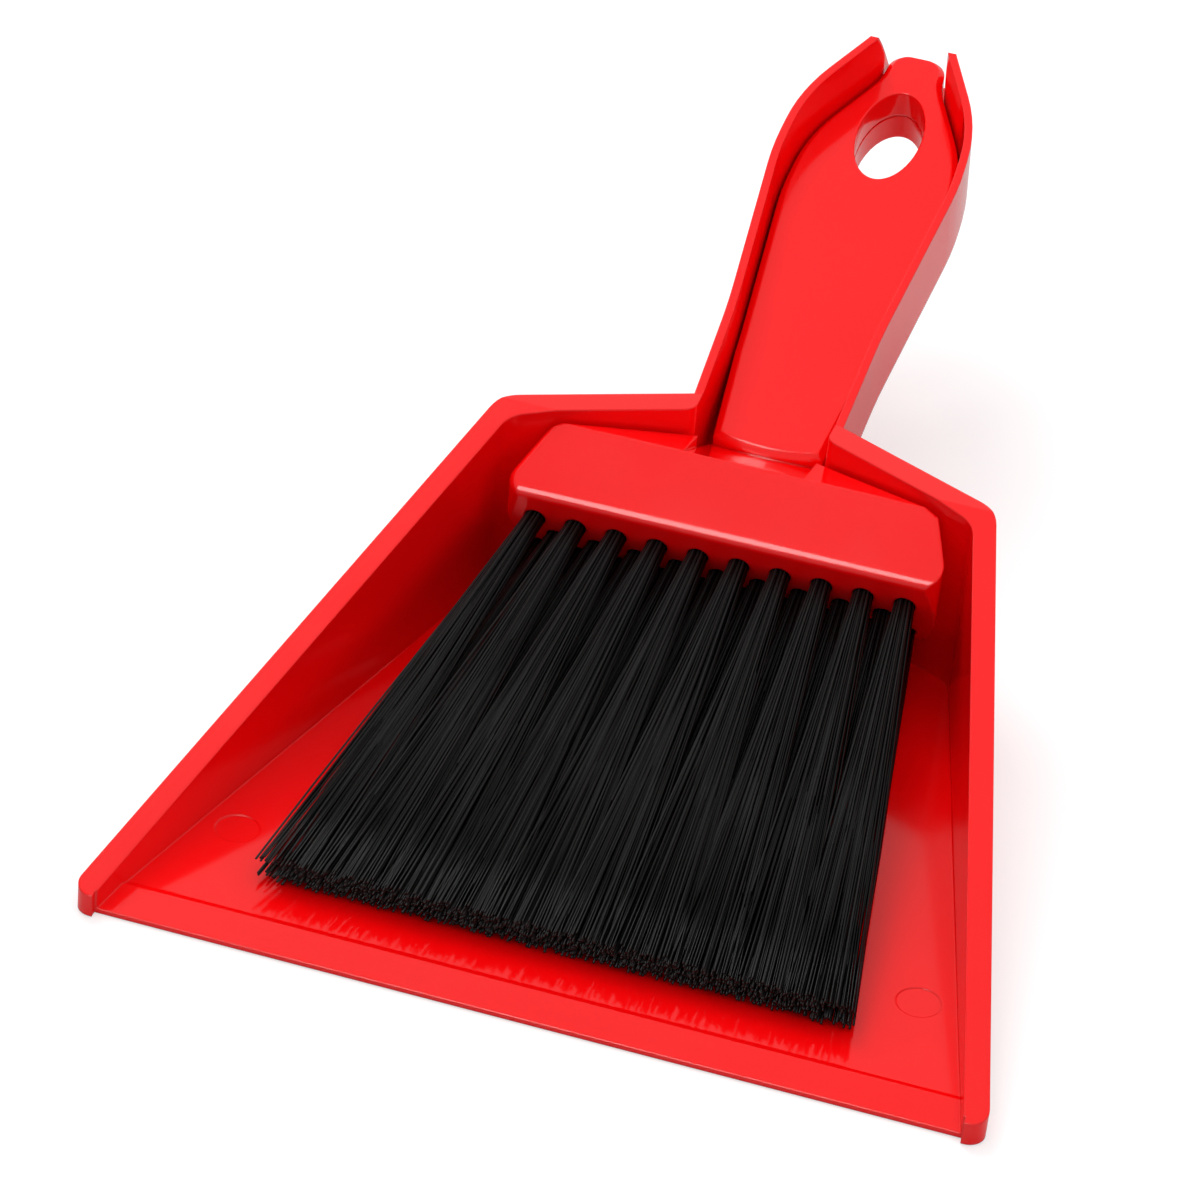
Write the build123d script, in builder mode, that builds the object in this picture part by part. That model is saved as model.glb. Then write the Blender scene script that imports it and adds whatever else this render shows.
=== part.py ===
"""Hand broom lying in its matching dustpan, each with a moulded handle.

Lengths are in millimetres. +Z is up and +Y runs from the dustpan's lip to the handles' ends.
The origin is on the floor, midway between the lip and the handles' ends.
"""
from build123d import *
import math
import os

# Overall sizes of the dustpan
overall_length = 296.0
mouth_half_width = 89.4
back_reach = 170.0
rim_height = 42.5
nose_height = 5.2
nose_reach = 1.5
side_taper_share = 0.25
back_rake_share = 0.48
rim_rise_share = 0.26

# Tray
wall = 2.0
floor_thickness = 1.5
side_rim_width = 4.9
back_rim_width = 6.95
rim_thickness = 2.0
skirt_depth = 6.0
skirt_thickness = 1.6
nose_solid_length = 9.0
nose_outer_radius = 3.4
shoulder_outer_radius = 9.0
shoulder_inner_radius = 6.5
lip_thickness = 1.0
ridge_setback = 8.0
ridge_rise = 0.5
ridge_fall_length = 1.6
mark_radius = 4.4
mark_depth = 0.15
mark_offset = 68.6
mark_setback = 33.5

# Dustpan handle, an open channel that rises to the back
handle_rise_share = 0.29
channel_start = 163.8
channel_half_width = 20.8
channel_depth = 25.0
channel_wall = 1.8
channel_floor = 2.2
channel_outer_radius = 6.5
channel_inner_radius = 4.0
ear_setback = 19.5
junction_radius = 3.5
channel_bends = [200.0, 80.0, 50.0, 14.0]
channel_shares = [
    (-0.200, 0.744), (0.180, 0.820), (0.515, 1.029), (0.645, 0.981), (0.802, 0.447),
    (1.000, 0.345),
]

# Broom handle, a shell that lies in the channel
plate_drop = 11.5
plate_thickness = 6.8
plate_skin = 2.0
plate_side_gap = 0.6
plate_seat_gap = 0.3
plate_tip_setback = 7.0
plate_tip_radius = 4.8
plate_bevel = 1.4
plate_front_half_width = 12.1
plate_spread_share = 0.1
plate_bevel_angle = 45.0
plate_front_bulge = 2.0
plate_lead = 2.8
hole_half_width = 7.3
hole_half_length = 14.4
hole_setback = 34.0
hole_rim_radius = 1.5
collar_wall = 2.0

# Broom block
block_front = 127.5
block_front_height = 31.1
block_front_half_width = 48.4
block_ridge = 143.2
block_ridge_height = 40.0
block_ridge_half_width = 41.5
block_face_radius = 38.7
block_face_start_angle = 12.0
block_face_end_angle = 48.0
block_foot_length = 2.5
block_back_gap = 1.0
block_corner_radius = 4.0
block_edge_radius = 2.0
shoulder_fall_share = 0.274
neck_half_width = 12.9
neck_step = 1.5

# Bristles, in three rows that fan out towards the lip
tuft_pitch = 8.83
tuft_hole_radius = 2.3
tuft_hole_depth = 5.5
tuft_plug_gap = 0.05
tuft_plug_recess = 1.2
top_row_angle = 22.4
middle_row_angle = 31.0
bottom_row_angle = 39.5
tuft_fan_share = 1.36
tip_setback = 26.0
tip_setback_step = 3.0
tip_height = 7.3
tip_height_step = 2.12
strand_radius = 0.34
strand_columns = 4
strand_layers = 3
strand_sides = 3
root_column_step = 0.85
root_layer_step = 0.95
tip_column_step = 3.1
tip_layer_step = 0.45
strand_length_spread = 1.6
strand_stagger_share = 0.25
anchor_height = 1.0
anchor_width = 4.0
anchor_thickness = 0.45

overrun = 10.0

lip_y = (nose_reach - overall_length) / 2
handle_angle = math.atan(handle_rise_share)
side_view = Plane(origin=(0, lip_y, 0), x_dir=(0, 1, 0), z_dir=(1, 0, 0))


def level(height):
    """A horizontal plane whose sketches measure back from the lip."""
    return Plane(origin=(0, lip_y, height))


def side_x(y, inset):
    """Half width of the tray at a distance from the lip, drawn in by an inset."""
    return mouth_half_width - inset - side_taper_share * y


def back_y(x, inset):
    """Distance from the lip of the tray's raked back, drawn in by an inset."""
    return back_reach - inset - back_rake_share * x


def shoulder(side_inset, back_inset):
    """The corner where a side line meets the raked back line."""
    reach = back_y(mouth_half_width - side_inset, back_inset)
    y = reach / (1 - back_rake_share * side_taper_share)
    return side_x(y, side_inset), y


def tray_outline(front, side_inset, back_inset):
    """Points round the tray in plan, from the right front corner to the left."""
    corner_x, corner_y = shoulder(side_inset, back_inset)
    half_width = side_x(front, side_inset)
    return [
        (half_width, front), (corner_x, corner_y), (0, back_y(0, back_inset)),
        (-corner_x, corner_y), (-half_width, front),
    ]


def tray_prism(front, side_inset, back_inset, shoulder_radius, height):
    """An upright solid over the tray's plan, with rounded shoulders."""
    with BuildPart() as prism:
        with BuildSketch(level(0)) as plan:
            with BuildLine():
                Polyline(*tray_outline(front, side_inset, back_inset), close=True)
            make_face()
            corner_y = shoulder(side_inset, back_inset)[1]
            corners = plan.vertices().filter_by(lambda v: abs(v.Y - corner_y) < wall)
            fillet(corners, radius=shoulder_radius)
        extrude(amount=height)
    return prism.part


def rim_line(drop):
    """Side view of the rim, lowered by a drop: it rises to the shoulders, then runs level."""
    level_start = (rim_height - nose_height) / rim_rise_share
    nose_edge = nose_height - rim_rise_share * overrun
    return [
        (-overrun, nose_edge - drop),
        (level_start, rim_height - drop),
        (back_reach + overrun, rim_height - drop),
    ]


def side_slab(points, half_width):
    """A solid with one side view all across the dustpan."""
    with BuildPart() as slab:
        with BuildSketch(side_view):
            with BuildLine():
                Polyline(*points, close=True)
            make_face()
        extrude(amount=half_width, both=True)
    return slab.part


def below_rim(drop):
    """Everything under the rim's line lowered by a drop."""
    base = [(back_reach + overrun, -overrun), (-overrun, -overrun)]
    return side_slab(rim_line(drop) + base, mouth_half_width + overrun)


def channel_top(y):
    """Height of the channel's wall tops at a distance from the lip."""
    return rim_height + handle_rise_share * (y - channel_start)


def slope_drop(depth):
    """Vertical drop that gives a depth square to the sloped handle."""
    return depth / math.cos(handle_angle)


def handle_plane(depth):
    """A plane along the handle, a depth square below the channel's wall tops."""
    square = Vector(0, -math.sin(handle_angle), math.cos(handle_angle))
    start = Vector(0, lip_y + channel_start, channel_top(channel_start))
    return Plane(origin=start - square * depth, x_dir=(1, 0, 0), z_dir=square)


def along(y, depth):
    """Distance along a handle plane of a point at a distance from the lip."""
    return (y - channel_start - depth * math.sin(handle_angle)) / math.cos(handle_angle)


def channel_outline(inset):
    """Sketch of the channel's outline along the slope, drawn in by an inset."""
    length = along(overall_length + overrun, 0)
    points = [(channel_half_width * x, length * y) for y, x in channel_shares]
    start_x, start_y = points[0]
    end_x, end_y = points[-1]
    with BuildSketch(mode=Mode.PRIVATE) as outline:
        with BuildLine():
            right = FilletPolyline(*points, radius=channel_bends)
            mirror(right, about=Plane.YZ)
            Line((start_x, start_y), (-start_x, start_y))
            Line((end_x, end_y), (-end_x, end_y))
        make_face()
        if inset:
            offset(amount=-inset, mode=Mode.REPLACE)
    return outline.sketch


def plate_outline():
    """Sketch of the broom handle's outline: the channel's, cut to length at both ends."""
    front = along(channel_start + plate_lead, plate_drop)
    tip = along(overall_length - plate_tip_setback, plate_drop)
    spread = front + (channel_half_width - plate_front_half_width) / plate_spread_share
    with BuildSketch(mode=Mode.PRIVATE) as outline:
        add(channel_outline(channel_wall + plate_side_gap))
        with BuildSketch(mode=Mode.INTERSECT):
            with BuildLine():
                Polyline(
                    (-plate_front_half_width, front), (-channel_half_width, spread),
                    (-channel_half_width, tip), (channel_half_width, tip),
                    (channel_half_width, spread), (plate_front_half_width, front),
                )
                ThreePointArc(
                    (-plate_front_half_width, front), (0, front - plate_front_bulge),
                    (plate_front_half_width, front),
                )
            make_face()
        fillet(outline.vertices().group_by(Axis.Y)[-1], radius=plate_tip_radius)
    return outline.sketch


def block_face(angle):
    """A point on the block's curved front, where it faces down by an angle."""
    turn = math.radians(angle)
    start = math.radians(block_face_start_angle)
    y = block_front + block_face_radius * (math.cos(start) - math.cos(turn))
    z = block_front_height - block_face_radius * (math.sin(turn) - math.sin(start))
    return y, z


tuft_rows = [
    ("top", top_row_angle, 10, 0),
    ("middle", middle_row_angle, 9, 1),
    ("bottom", bottom_row_angle, 10, 2),
]


def tuft_axes():
    """Each tuft's name, the middle of its mouth and the middle of its tip."""
    axes = []
    for row_name, angle, count, row in tuft_rows:
        y, z = block_face(angle)
        for number in range(count):
            x = (number - (count - 1) / 2) * tuft_pitch
            mouth = Vector(x, lip_y + y, z)
            tip = Vector(
                x * tuft_fan_share,
                lip_y + tip_setback - row * tip_setback_step,
                tip_height - row * tip_height_step,
            )
            axes.append((f"tuft_{row_name}_{number + 1:02d}", mouth, tip))
    return axes


def tuft_plane(mouth, tip, depth):
    """A plane square to a tuft, a depth inside the block, facing the bristles' tips."""
    direction = (tip - mouth).normalized()
    return Plane(origin=mouth - direction * depth, x_dir=(1, 0, 0), z_dir=direction)


# Dustpan: a tray with a hollow rim, and an open channel as its handle
side_wall_step = wall * math.hypot(1, side_taper_share)
back_wall_step = wall * math.hypot(1, back_rake_share)
outer_tray = tray_prism(-nose_reach, 0, 0, shoulder_outer_radius, rim_height + overrun)
wall_tray = tray_prism(
    -overrun, side_rim_width - side_wall_step, back_rim_width - back_wall_step,
    shoulder_inner_radius + wall, rim_height + overrun,
)
skirt_tray = tray_prism(
    nose_solid_length, skirt_thickness, skirt_thickness,
    shoulder_outer_radius - skirt_thickness, rim_height + overrun,
)
inner_tray = tray_prism(
    -overrun, side_rim_width, back_rim_width, shoulder_inner_radius, rim_height + overrun,
)

with BuildPart() as outside_wall:
    add(below_rim(skirt_depth))
    add(wall_tray, mode=Mode.SUBTRACT)
    with BuildSketch(level(-overrun)):
        with Locations((0, nose_solid_length - mouth_half_width)):
            Rectangle(4 * mouth_half_width, 2 * mouth_half_width)
    extrude(amount=rim_height + overrun, mode=Mode.SUBTRACT)

with BuildPart() as rim_hollow:
    add(skirt_tray)
    add(wall_tray, mode=Mode.SUBTRACT)
    add(below_rim(rim_thickness), mode=Mode.INTERSECT)

ridge_height = floor_thickness + ridge_rise
floor_line = [
    (-overrun, lip_thickness), (0, lip_thickness), (ridge_setback, ridge_height),
    (ridge_setback + ridge_fall_length, floor_thickness),
    (back_reach + overrun, floor_thickness),
    (back_reach + overrun, rim_height + overrun), (-overrun, rim_height + overrun),
]
with BuildPart() as tray_space:
    add(inner_tray)
    add(side_slab(floor_line, mouth_half_width + overrun), mode=Mode.INTERSECT)

# The handle's end is cut at a slant, from the tops of its walls to its floor
ear_y = overall_length - ear_setback
end_height = channel_top(overall_length) - slope_drop(channel_depth)
end_slant = (channel_top(ear_y) - end_height) / ear_setback
far_y = overall_length + 2 * overrun
behind_end = [
    (ear_y - overrun, channel_top(ear_y) + overrun * end_slant),
    (overall_length + overrun, end_height - overrun * end_slant),
    (far_y, end_height - overrun * end_slant),
    (far_y, channel_top(ear_y) + overrun * end_slant),
]
with BuildPart() as channel_body:
    with BuildSketch(handle_plane(channel_depth)):
        add(channel_outline(0))
    extrude(amount=channel_depth)
    square = Axis((0, 0, 0), tuple(handle_plane(0).z_dir))
    fillet(channel_body.edges().group_by(square)[0], radius=channel_outer_radius)
    add(side_slab(behind_end, channel_half_width + overrun), mode=Mode.SUBTRACT)

trough_bottom = channel_depth - channel_floor
with BuildPart() as trough:
    with BuildSketch(handle_plane(trough_bottom)):
        add(channel_outline(channel_wall))
    extrude(amount=trough_bottom + overrun)
    fillet(trough.edges().group_by(square)[0], radius=channel_inner_radius)

hole_centre = (0, along(overall_length - hole_setback, plate_drop))
seat_drop = plate_drop + plate_thickness + plate_seat_gap

with BuildPart() as dustpan:
    add(outer_tray)
    add(below_rim(0), mode=Mode.INTERSECT)
    add(outside_wall.part, mode=Mode.SUBTRACT)
    add(rim_hollow.part, mode=Mode.SUBTRACT)
    add(channel_body.part)
    add(tray_space.part, mode=Mode.SUBTRACT)
    add(trough.part, mode=Mode.SUBTRACT)
    # The lip stands a little behind the noses
    with BuildSketch(level(-overrun)):
        with Locations((0, -nose_reach / 2)):
            Rectangle(2 * side_x(-nose_reach, side_rim_width), nose_reach)
    extrude(amount=rim_height, mode=Mode.SUBTRACT)
    # Seat round the hanging hole, where the broom's handle rests
    with BuildSketch(handle_plane(trough_bottom + channel_floor / 2)):
        with Locations(hole_centre):
            Ellipse(hole_half_width + collar_wall, hole_half_length + collar_wall)
    extrude(amount=trough_bottom + channel_floor / 2 - seat_drop)
    with BuildSketch(handle_plane(channel_depth + overrun)):
        with Locations(hole_centre):
            Ellipse(hole_half_width, hole_half_length)
    extrude(amount=channel_depth + overrun - plate_drop, mode=Mode.SUBTRACT)
    # The tray's back rim turns into the channel's walls with a round corner
    opening_y = lip_y + back_y(channel_half_width * channel_shares[0][1], back_rim_width)
    back_corners = dustpan.edges().filter_by(
        lambda edge: abs(edge.center().Y - opening_y) < wall
        and abs(edge.center().X) < channel_half_width
        and edge.length > rim_height / 3
    )
    fillet(back_corners, radius=junction_radius)
    # Shallow round marks that the mould's ejector pins leave in the floor
    with BuildSketch(level(floor_thickness - mark_depth)):
        with Locations((-mark_offset, mark_setback), (mark_offset, mark_setback)):
            Circle(mark_radius)
    extrude(amount=mark_depth + overrun, mode=Mode.SUBTRACT)
    nose_edges = dustpan.edges().filter_by(Axis.Z).group_by(Axis.Y)[0].sort_by(Axis.X)
    fillet(ShapeList([nose_edges[0], nose_edges[-1]]), radius=nose_outer_radius)
dustpan.part.label = "dustpan"

# Broom: the block, its sloped shoulders and the handle are one moulding
block_back = back_rim_width + block_back_gap * math.hypot(1, back_rake_share)
end_lean = (block_front_half_width - block_ridge_half_width) / (block_ridge - block_front)
end_y = (
    back_y(block_front_half_width + end_lean * block_front, block_back)
    / (1 - back_rake_share * end_lean)
)
end_x = block_front_half_width - end_lean * (end_y - block_front)
neck_end = channel_start + plate_lead + plate_thickness
block_right = [
    (block_front_half_width, block_front), (end_x, end_y),
    (neck_half_width, back_y(neck_half_width, block_back)), (neck_half_width, neck_end),
]
foot_y, foot_z = block_face(block_face_end_angle)
neck_top = block_ridge_height - shoulder_fall_share * (neck_end - block_ridge)
neck_bottom = channel_top(neck_end) - slope_drop(plate_drop + plate_thickness)
arc_y = channel_start + plate_lead - plate_front_bulge
arc_z = channel_top(arc_y) - slope_drop(plate_drop + neck_step)
neck_fall = (block_ridge_height - arc_z) / (arc_y - block_ridge)

with BuildPart() as block_profile:
    with BuildSketch(side_view) as profile:
        with BuildLine():
            middle_angle = (block_face_start_angle + block_face_end_angle) / 2
            face = ThreePointArc(
                block_face(block_face_start_angle),
                block_face(middle_angle),
                block_face(block_face_end_angle),
            )
            Polyline(
                face @ 1, (foot_y + block_foot_length, foot_z), (neck_end, neck_bottom),
                (neck_end, neck_top), (block_ridge, block_ridge_height), face @ 0,
            )
        make_face()
        fillet(profile.vertices().group_by(Axis.X)[0], radius=block_edge_radius)
    extrude(amount=block_front_half_width, both=True)

with BuildPart() as neck_cut:
    with BuildSketch(side_view):
        with BuildLine():
            far_y = neck_end + overrun
            Polyline(
                (block_ridge, block_ridge_height), (far_y, block_ridge_height),
                (far_y, block_ridge_height - neck_fall * (far_y - block_ridge)), close=True,
            )
        make_face()
    extrude(amount=neck_half_width, both=True)

with BuildPart() as plate:
    with BuildSketch(handle_plane(plate_drop + plate_thickness)):
        add(plate_outline())
    extrude(amount=plate_thickness - plate_bevel)
    with BuildSketch(handle_plane(plate_drop + plate_bevel)):
        add(plate_outline())
    extrude(amount=plate_bevel, taper=plate_bevel_angle)

pocket_start = along(channel_start + plate_lead + plate_thickness, plate_drop)
pocket_end = hole_centre[1] - hole_half_length - collar_wall
with BuildPart() as broom:
    with BuildSketch(level(0)) as plan:
        with BuildLine():
            Polyline(*block_right)
            Polyline(*[(-x, y) for x, y in block_right])
            Line(block_right[0], (-block_front_half_width, block_front))
            Line(block_right[-1], (-neck_half_width, neck_end))
        make_face()
        fillet(plan.vertices().group_by(Axis.Y)[0], radius=block_corner_radius)
    extrude(amount=block_ridge_height + overrun)
    add(block_profile.part, mode=Mode.INTERSECT)
    add(neck_cut.part, mode=Mode.SUBTRACT)
    add(plate.part)
    # The handle is hollow underneath, up to the collar round its hanging hole
    with BuildSketch(handle_plane(plate_drop + plate_thickness)):
        add(channel_outline(channel_wall + plate_side_gap + plate_skin))
        with Locations((0, (pocket_start + pocket_end) / 2)):
            Rectangle(
                2 * channel_half_width, pocket_end - pocket_start, mode=Mode.INTERSECT
            )
    extrude(amount=plate_thickness - plate_skin, mode=Mode.SUBTRACT)
    with BuildSketch(handle_plane(plate_drop + plate_thickness + overrun)):
        with Locations(hole_centre):
            Ellipse(hole_half_width, hole_half_length)
    extrude(amount=plate_thickness + 2 * overrun, mode=Mode.SUBTRACT)
    hole_edges = broom.edges().filter_by(GeomType.ELLIPSE)
    fillet(hole_edges.sort_by(square)[-1], radius=hole_rim_radius)
    for _, mouth, tip in tuft_axes():
        with BuildSketch(tuft_plane(mouth, tip, tuft_hole_depth)):
            Circle(tuft_hole_radius)
        extrude(amount=tuft_hole_depth + overrun, mode=Mode.SUBTRACT)
broom.part.label = "broom_block_and_handle"


def tuft(name, mouth, tip):
    """A plug that fills the bottom of its hole, with strands that spread to the tip."""
    root = tuft_plane(mouth, tip, tuft_plug_recess + strand_radius)
    strands = []
    with BuildPart() as bristles:
        with BuildSketch(tuft_plane(mouth, tip, tuft_hole_depth - anchor_height)):
            Circle(tuft_hole_radius - tuft_plug_gap)
        extrude(amount=tuft_hole_depth - anchor_height - tuft_plug_recess)
        for layer in range(strand_layers):
            up = layer - (strand_layers - 1) / 2
            for column in range(strand_columns):
                across = column - (strand_columns - 1) / 2
                across -= strand_stagger_share * (-1) ** layer
                uneven = (3 * column + 2 * layer) % strand_columns / strand_columns
                start = root.from_local_coords((across * root_column_step, up * root_layer_step))
                end = tip + Vector(
                    across * tip_column_step,
                    uneven * strand_length_spread,
                    up * tip_layer_step,
                )
                run = end - start
                with BuildSketch(Plane(origin=start, x_dir=(1, 0, 0), z_dir=run)) as section:
                    RegularPolygon(strand_radius, strand_sides)
                strands.append(extrude(section.sketch, amount=run.length, mode=Mode.PRIVATE))
        add(strands)
    bristles.part.label = name
    return bristles.part


with BuildPart() as anchors:
    for _, mouth, tip in tuft_axes():
        with BuildSketch(tuft_plane(mouth, tip, tuft_hole_depth)):
            Rectangle(anchor_width, anchor_thickness)
        extrude(amount=anchor_height)
anchors.part.label = "tuft_anchors"

os.makedirs("parts", exist_ok=True)
export_step(dustpan.part, "parts/dustpan.step")
export_step(broom.part, "parts/broom_block_and_handle.step")
export_step(anchors.part, "parts/tuft_anchors.step")
for name, mouth, tip in tuft_axes():
    export_step(tuft(name, mouth, tip), f"parts/{name}.step")
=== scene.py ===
"""Dresses the hand broom and its dustpan: glossy red plastic, dark bristles, a white studio."""

import math
import random

import bpy
from mathutils import Matrix, Vector


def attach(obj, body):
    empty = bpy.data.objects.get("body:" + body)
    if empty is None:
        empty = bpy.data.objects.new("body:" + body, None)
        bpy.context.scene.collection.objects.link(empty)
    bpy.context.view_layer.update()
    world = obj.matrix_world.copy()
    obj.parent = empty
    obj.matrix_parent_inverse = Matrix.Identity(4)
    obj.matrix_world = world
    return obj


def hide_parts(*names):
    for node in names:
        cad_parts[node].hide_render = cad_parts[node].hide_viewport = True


MM = 0.001

# Tuft holes of the part, in millimetres, with Y measured from the dustpan's lip
LIP_Y = -147.25
TUFT_PITCH = 8.83
TUFT_ROWS = [
    ("top", 22.4, 10, 0),
    ("middle", 31.0, 9, 1),
    ("bottom", 39.5, 10, 2),
]
FACE_FRONT = 127.5
FACE_TOP = 31.1
FACE_RADIUS = 38.7
FACE_START_ANGLE = 12.0
TRAY_FLOOR = 1.5

# Cut ends of the bristles: the three rows end in one nearly upright face
FAN_SHARE = 1.31
TIP_SETBACK = 19.0
TIP_SETBACK_STEP = 0.5
TIP_HEIGHT = 7.3
TIP_HEIGHT_STEP = 2.12

# Bristle filaments, in millimetres
SEED = 7
FILAMENTS = 66
FILAMENT_RADIUS = 0.25
FILAMENT_SIDES = 4
FILAMENT_RINGS = 6
FILAMENT_FLOOR_GAP = 0.1
GOLDEN_ANGLE = math.pi * (3 - math.sqrt(5))
ROOT_SPREAD = 2.0
TIP_SPREAD_X = 7.4
TIP_SPREAD_Y = -0.4
TIP_SPREAD_Z = 1.3
TIP_SCATTER_X = 0.45
TIP_SCATTER_Z = 0.3
PLUG_RECESS = 1.3
LENGTH_SPREAD = 0.7
BOW = 0.45
BOW_HEIGHT_SHARE = 0.4

# Red plastic: noise scales in waves per metre, lengths in metres
RED_LOW = (0.91, 0.0012, 0.0022, 1)
RED_HIGH = (0.95, 0.0018, 0.003, 1)
TINT_WAVES = 9.0
GLOSS_WAVES = 60.0
RED_ROUGHNESS_LOW = 0.09
RED_ROUGHNESS_HIGH = 0.13
EDGE_SAMPLES = 8
PAN_EDGE = 0.0006
BROOM_EDGE = 0.0008
GRAIN_WAVES = 2600.0
GRAIN_DETAIL = 2.0
GRAIN_STRENGTH = 0.05
GRAIN_DEPTH = 0.00005
PLASTIC_IOR = 1.49
SCATTER_WEIGHT = 0.06
SCATTER_RADIUS = (0.003, 0.0004, 0.0004)

# Black filaments
BLACK_LOW = (0.0004, 0.0004, 0.0004, 1)
BLACK_HIGH = (0.014, 0.014, 0.014, 1)
BLACK_START_SHARE = 0.5
BLACK_ROUGHNESS_LOW = 0.24
BLACK_ROUGHNESS_HIGH = 0.42
BLACK_SPECULAR = 0.22

# Anchor metal
METAL_COLOUR = (0.55, 0.55, 0.54, 1)
METAL_WAVES = 900.0
METAL_ROUGHNESS_LOW = 0.25
METAL_ROUGHNESS_HIGH = 0.4

# Ramps between two noise values
RAMP_LOW_SHARE = 0.35
RAMP_HIGH_SHARE = 0.65
RANGE_LOW_SHARE = 0.3
RANGE_HIGH_SHARE = 0.7

# Studio, in metres and watts
LAMP_TARGET = (0, 0, 0.02)
# Name, direction, distance, width, height, power, whether it gives light, whether it is mirrored
LAMPS = [
    ("key", (-0.5, 0.45, 1.0), 1.3, 0.6, 0.6, 6.0, True, False),
    ("overhead", (0.1, -0.05, 1.0), 1.4, 1.2, 1.2, 6.0, True, False),
    ("fill", (1.0, -0.35, 0.45), 1.4, 0.8, 0.8, 1.3, True, False),
    ("strip", (-0.19, -0.5, 0.8), 1.4, 0.4, 1.3, 12.0, False, True),
]
GROUND_HALF = 3.0
GROUND_DROP = 0.0002
PAPER_LOW = (0.55, 0.55, 0.55, 1)
PAPER_HIGH = (0.57, 0.57, 0.57, 1)
PAPER_WAVES = 3.0
PAPER_ROUGHNESS = 0.9
PAPER_SPECULAR = 0.1
PAPER_GLOW = 0.48
WHITE = (1.0, 1.0, 1.0, 1)
WORLD_STRENGTH = 0.62

# Camera, solved from the photograph, in degrees and millimetres
CAMERA_AZIMUTH = 13.37
CAMERA_ELEVATION = 33.79
CAMERA_ROLL = 6.02
CAMERA_TARGET = (-26.79, 141.19, 0.0)
CAMERA_DISTANCE = 963.26
CAMERA_LENS = 136.06
CAMERA_SENSOR = 36.0
CAMERA_NEAR = 0.05
CAMERA_FAR = 20.0

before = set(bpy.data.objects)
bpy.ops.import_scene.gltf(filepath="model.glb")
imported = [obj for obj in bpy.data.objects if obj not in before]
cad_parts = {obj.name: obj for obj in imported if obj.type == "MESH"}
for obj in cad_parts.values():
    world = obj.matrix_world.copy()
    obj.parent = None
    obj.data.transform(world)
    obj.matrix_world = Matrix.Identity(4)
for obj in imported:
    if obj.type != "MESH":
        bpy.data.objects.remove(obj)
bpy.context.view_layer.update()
random.seed(SEED)


def new_material(name):
    """A node material with its Principled shader."""
    material = bpy.data.materials.new(name)
    material.use_nodes = True
    shader = material.node_tree.nodes["Principled BSDF"]
    return material, material.node_tree, shader


def node(tree, kind, **inputs):
    """Adds a node and sets its input sockets by name, with underscores for spaces."""
    made = tree.nodes.new(kind)
    for name, value in inputs.items():
        made.inputs[name.replace("_", " ")].default_value = value
    return made


def noise(tree, scale, detail=3.0):
    """Noise in object space at a scale in waves per metre."""
    where = tree.nodes.new("ShaderNodeTexCoord")
    made = node(tree, "ShaderNodeTexNoise", Scale=scale, Detail=detail)
    tree.links.new(where.outputs["Object"], made.inputs["Vector"])
    return made


def ramp(tree, source, low, high):
    """A colour ramp between two colours, driven by a node's Fac output."""
    made = tree.nodes.new("ShaderNodeValToRGB")
    made.color_ramp.elements[0].position = RAMP_LOW_SHARE
    made.color_ramp.elements[0].color = low
    made.color_ramp.elements[1].position = RAMP_HIGH_SHARE
    made.color_ramp.elements[1].color = high
    tree.links.new(source.outputs["Fac"], made.inputs["Fac"])
    return made


def ranged(tree, source, low, high):
    """Maps a node's Fac output to a range of values."""
    made = node(
        tree, "ShaderNodeMapRange",
        From_Min=RANGE_LOW_SHARE, From_Max=RANGE_HIGH_SHARE, To_Min=low, To_Max=high,
    )
    tree.links.new(source.outputs["Fac"], made.inputs["Value"])
    return made


def moulded_red(name, edge):
    """Glossy red polypropylene with faint flow marks and softened edges."""
    material, tree, shader = new_material(name)
    tint = ramp(tree, noise(tree, TINT_WAVES), RED_LOW, RED_HIGH)
    tree.links.new(tint.outputs["Color"], shader.inputs["Base Color"])
    gloss = ranged(tree, noise(tree, GLOSS_WAVES), RED_ROUGHNESS_LOW, RED_ROUGHNESS_HIGH)
    tree.links.new(gloss.outputs["Result"], shader.inputs["Roughness"])
    soft_edge = tree.nodes.new("ShaderNodeBevel")
    soft_edge.samples = EDGE_SAMPLES
    soft_edge.inputs["Radius"].default_value = edge
    grain = noise(tree, GRAIN_WAVES, GRAIN_DETAIL)
    bump = node(tree, "ShaderNodeBump", Strength=GRAIN_STRENGTH, Distance=GRAIN_DEPTH)
    tree.links.new(grain.outputs["Fac"], bump.inputs["Height"])
    tree.links.new(soft_edge.outputs["Normal"], bump.inputs["Normal"])
    tree.links.new(bump.outputs["Normal"], shader.inputs["Normal"])
    shader.inputs["IOR"].default_value = PLASTIC_IOR
    shader.inputs["Subsurface Weight"].default_value = SCATTER_WEIGHT
    shader.inputs["Subsurface Radius"].default_value = SCATTER_RADIUS
    return material


def bristle_black():
    """Dark filaments that differ a little from one another."""
    material, tree, shader = new_material("bristle_black")
    islands = tree.nodes.new("ShaderNodeNewGeometry")
    shade = tree.nodes.new("ShaderNodeValToRGB")
    shade.color_ramp.elements[0].position = BLACK_START_SHARE
    shade.color_ramp.elements[0].color = BLACK_LOW
    shade.color_ramp.elements[1].color = BLACK_HIGH
    tree.links.new(islands.outputs["Random Per Island"], shade.inputs["Fac"])
    tree.links.new(shade.outputs["Color"], shader.inputs["Base Color"])
    gloss = node(
        tree, "ShaderNodeMapRange", To_Min=BLACK_ROUGHNESS_LOW, To_Max=BLACK_ROUGHNESS_HIGH
    )
    tree.links.new(islands.outputs["Random Per Island"], gloss.inputs["Value"])
    tree.links.new(gloss.outputs["Result"], shader.inputs["Roughness"])
    shader.inputs["Specular IOR Level"].default_value = BLACK_SPECULAR
    return material


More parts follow.
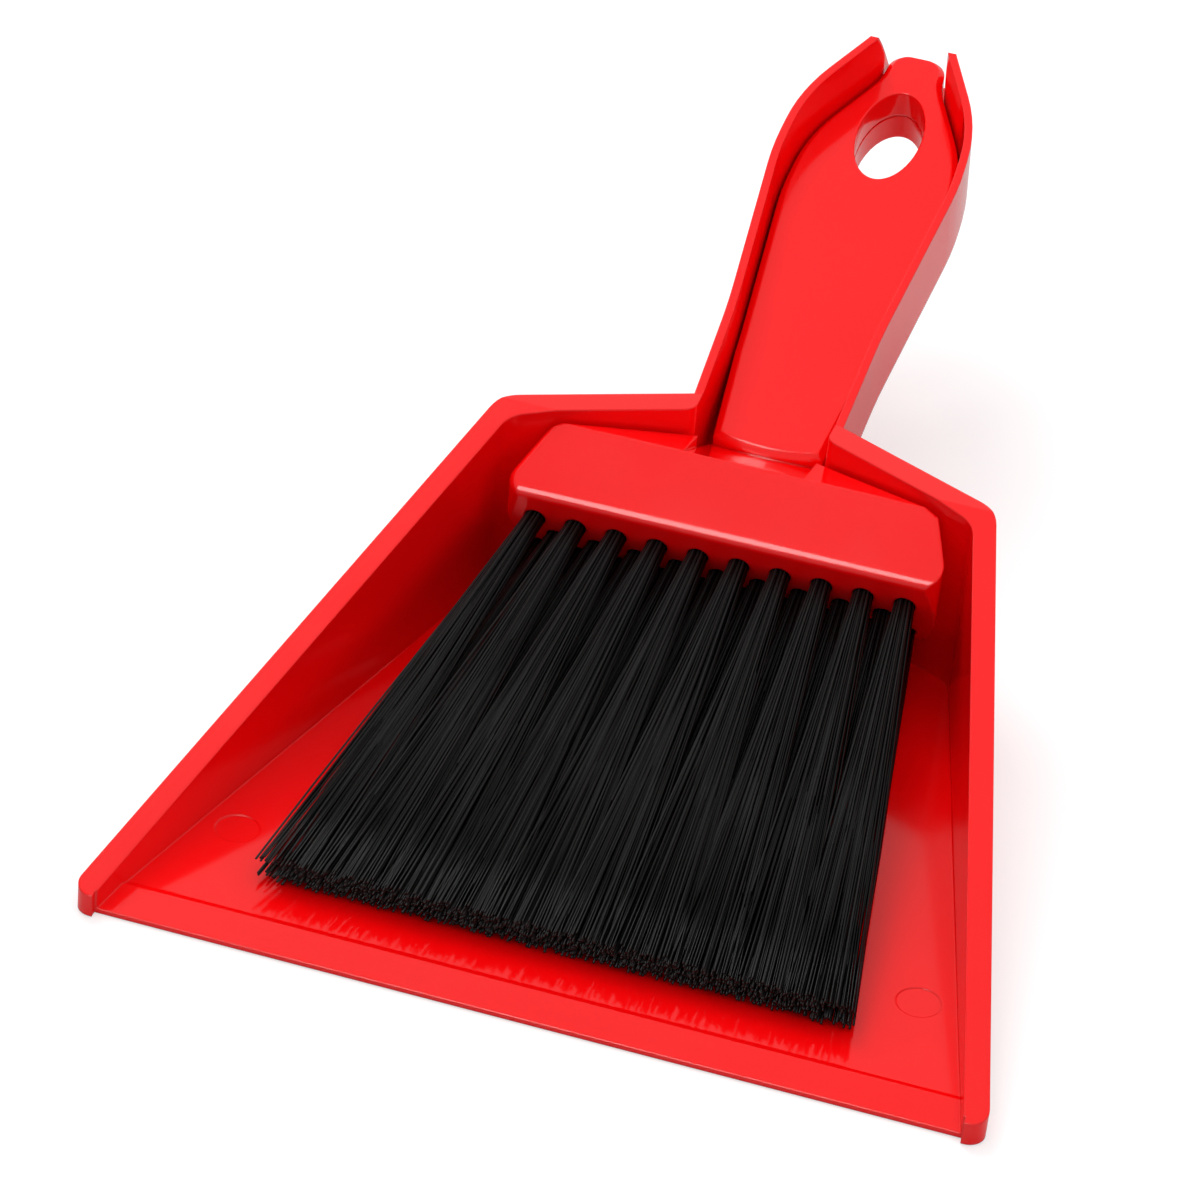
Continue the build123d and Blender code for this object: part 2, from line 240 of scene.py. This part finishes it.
def anchor_metal():
    """Bright metal of the anchors at the bottom of each tuft hole."""
    material, tree, shader = new_material("anchor_steel")
    gloss = ranged(tree, noise(tree, METAL_WAVES), METAL_ROUGHNESS_LOW, METAL_ROUGHNESS_HIGH)
    tree.links.new(gloss.outputs["Result"], shader.inputs["Roughness"])
    shader.inputs["Base Color"].default_value = METAL_COLOUR
    shader.inputs["Metallic"].default_value = 1.0
    return material


def tuft_axes():
    """Each tuft's name, the middle of its mouth and the middle of its tip, in millimetres."""
    start = math.radians(FACE_START_ANGLE)
    for row_name, angle, count, row in TUFT_ROWS:
        turn = math.radians(angle)
        y = FACE_FRONT + FACE_RADIUS * (math.cos(start) - math.cos(turn))
        z = FACE_TOP - FACE_RADIUS * (math.sin(turn) - math.sin(start))
        for number in range(count):
            x = (number - (count - 1) / 2) * TUFT_PITCH
            mouth = Vector((x, LIP_Y + y, z))
            tip = Vector((
                x * FAN_SHARE,
                LIP_Y + TIP_SETBACK + row * TIP_SETBACK_STEP,
                TIP_HEIGHT - row * TIP_HEIGHT_STEP,
            ))
            yield f"{row_name}_{number + 1:02d}", mouth, tip


def filament_line(mouth, tip, along, side, up, number):
    """Points of one filament from inside its hole to its cut end."""
    turn = number * GOLDEN_ANGLE
    reach = math.sqrt((number + 0.5) / FILAMENTS)
    across = reach * math.cos(turn)
    rise = reach * math.sin(turn)
    start = mouth - along * PLUG_RECESS + (side * across + up * rise) * ROOT_SPREAD
    spread = Vector((
        across * TIP_SPREAD_X + random.gauss(0, TIP_SCATTER_X),
        random.uniform(-LENGTH_SPREAD, LENGTH_SPREAD) + rise * TIP_SPREAD_Y,
        rise * TIP_SPREAD_Z + random.gauss(0, TIP_SCATTER_Z),
    ))
    end = tip + spread
    bow = Vector((random.gauss(0, BOW), 0, random.gauss(0, BOW * BOW_HEIGHT_SHARE)))
    lowest = TRAY_FLOOR + FILAMENT_RADIUS + FILAMENT_FLOOR_GAP
    points = []
    for ring in range(FILAMENT_RINGS):
        share = ring / (FILAMENT_RINGS - 1)
        # The bow starts straight out of the hole and is widest past the middle
        point = start.lerp(end, share) + bow * (4 * share * share * (1 - share))
        point.z = max(point.z, lowest)
        points.append(point)
    return points


def add_tube(points, vertices, faces):
    """A thin tube along the points, closed at its far end."""
    first = len(vertices)
    for index, point in enumerate(points):
        ahead = points[min(index + 1, len(points) - 1)] - points[max(index - 1, 0)]
        side = ahead.cross(Vector((0, 0, 1))).normalized()
        up = side.cross(ahead).normalized()
        for corner in range(FILAMENT_SIDES):
            angle = 2 * math.pi * corner / FILAMENT_SIDES
            edge = side * math.cos(angle) + up * math.sin(angle)
            vertices.append((point + edge * FILAMENT_RADIUS) * MM)
    for ring in range(len(points) - 1):
        for corner in range(FILAMENT_SIDES):
            following = (corner + 1) % FILAMENT_SIDES
            low = first + ring * FILAMENT_SIDES
            high = low + FILAMENT_SIDES
            faces.append((low + corner, low + following, high + following, high + corner))
    last = first + (len(points) - 1) * FILAMENT_SIDES
    faces.append(tuple(last + corner for corner in range(FILAMENT_SIDES)))


def make_tuft(name, mouth, tip, material):
    """One tuft of filaments that fan out from its hole."""
    along = (tip - mouth).normalized()
    side = Vector((1, 0, 0))
    side = (side - along * side.dot(along)).normalized()
    up = side.cross(along)
    vertices = []
    faces = []
    for number in range(FILAMENTS):
        add_tube(filament_line(mouth, tip, along, side, up, number), vertices, faces)
    mesh = bpy.data.meshes.new(f"bristles_{name}")
    mesh.from_pydata([tuple(vertex) for vertex in vertices], [], faces)
    mesh.update()
    mesh.materials.append(material)
    for polygon in mesh.polygons:
        polygon.use_smooth = True
    piece = bpy.data.objects.new(f"bristles_{name}", mesh)
    bpy.context.collection.objects.link(piece)
    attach(piece, "broom")
    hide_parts(f"tuft_{name}")


def paint(name, material):
    """Gives a CAD node its material."""
    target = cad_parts[name]
    target.data.materials.clear()
    target.data.materials.append(material)


def add_lamp(name, direction, distance, width, height, power):
    """A flat studio lamp that faces the part from a direction."""
    light = bpy.data.lights.new(name, "AREA")
    light.shape = "RECTANGLE"
    light.size = width
    light.size_y = height
    light.energy = power
    lamp = bpy.data.objects.new(name, light)
    bpy.context.collection.objects.link(lamp)
    middle = Vector(LAMP_TARGET)
    place = middle + Vector(direction).normalized() * distance
    lamp.location = place
    lamp.rotation_mode = "QUATERNION"
    lamp.rotation_quaternion = (middle - place).to_track_quat("-Z", "Y")
    return lamp


def add_ground():
    """A pale ground that the camera sees as white and that keeps the part's shadow."""
    half = GROUND_HALF
    mesh = bpy.data.meshes.new("ground")
    mesh.from_pydata(
        [(-half, -half, 0), (half, -half, 0), (half, half, 0), (-half, half, 0)],
        [], [(0, 1, 2, 3)],
    )
    ground = bpy.data.objects.new("ground", mesh)
    ground.location.z = -GROUND_DROP
    bpy.context.collection.objects.link(ground)
    paper, tree, shader = new_material("white_ground")
    tint = ramp(tree, noise(tree, PAPER_WAVES), PAPER_LOW, PAPER_HIGH)
    tree.links.new(tint.outputs["Color"], shader.inputs["Base Color"])
    shader.inputs["Roughness"].default_value = PAPER_ROUGHNESS
    shader.inputs["Specular IOR Level"].default_value = PAPER_SPECULAR
    shader.inputs["Emission Color"].default_value = WHITE
    seen = tree.nodes.new("ShaderNodeLightPath")
    glow = node(tree, "ShaderNodeMapRange", To_Min=0.0, To_Max=PAPER_GLOW)
    tree.links.new(seen.outputs["Is Camera Ray"], glow.inputs["Value"])
    tree.links.new(glow.outputs["Result"], shader.inputs["Emission Strength"])
    mesh.materials.append(paper)


def add_camera():
    """The camera at the photograph's angle."""
    azimuth = math.radians(CAMERA_AZIMUTH)
    elevation = math.radians(CAMERA_ELEVATION)
    roll = math.radians(CAMERA_ROLL)
    back = Vector((
        math.sin(azimuth) * math.cos(elevation),
        -math.cos(azimuth) * math.cos(elevation),
        math.sin(elevation),
    ))
    level_right = Vector((math.cos(azimuth), math.sin(azimuth), 0))
    level_up = back.cross(level_right)
    right = level_right * math.cos(roll) + level_up * math.sin(roll)
    above = level_up * math.cos(roll) - level_right * math.sin(roll)
    target = (Vector(CAMERA_TARGET) + Vector((0, LIP_Y, 0))) * MM
    lens = bpy.data.cameras.new("photo_camera")
    lens.lens = CAMERA_LENS
    lens.sensor_width = CAMERA_SENSOR
    lens.clip_start = CAMERA_NEAR
    lens.clip_end = CAMERA_FAR
    camera = bpy.data.objects.new("photo_camera", lens)
    bpy.context.collection.objects.link(camera)
    turned = Matrix((right, above, back)).transposed().to_4x4()
    camera.matrix_world = Matrix.Translation(target + back * CAMERA_DISTANCE * MM) @ turned
    return camera


# Moulded pieces and anchors
paint("dustpan", moulded_red("pan_red", PAN_EDGE))
paint("broom_block_and_handle", moulded_red("broom_red", BROOM_EDGE))
paint("tuft_anchors", anchor_metal())

# Bristles
black = bristle_black()
for tuft_name, tuft_mouth, tuft_tip in tuft_axes():
    make_tuft(tuft_name, tuft_mouth, tuft_tip, black)

# Studio: a soft key lamp high at the back and left, a wide one overhead, a weak fill at the
# right, a strip that draws the edges, and a white ground
for *place_and_power, lights, mirrored in LAMPS:
    studio_lamp = add_lamp(*place_and_power)
    studio_lamp.visible_diffuse = lights
    studio_lamp.visible_glossy = mirrored
add_ground()

world = bpy.data.worlds.new("studio")
world.use_nodes = True
world.node_tree.nodes["Background"].inputs["Color"].default_value = WHITE
world.node_tree.nodes["Background"].inputs["Strength"].default_value = WORLD_STRENGTH
bpy.context.scene.world = world

bpy.context.scene.camera = add_camera()
bpy.context.scene.view_settings.view_transform = "Standard"
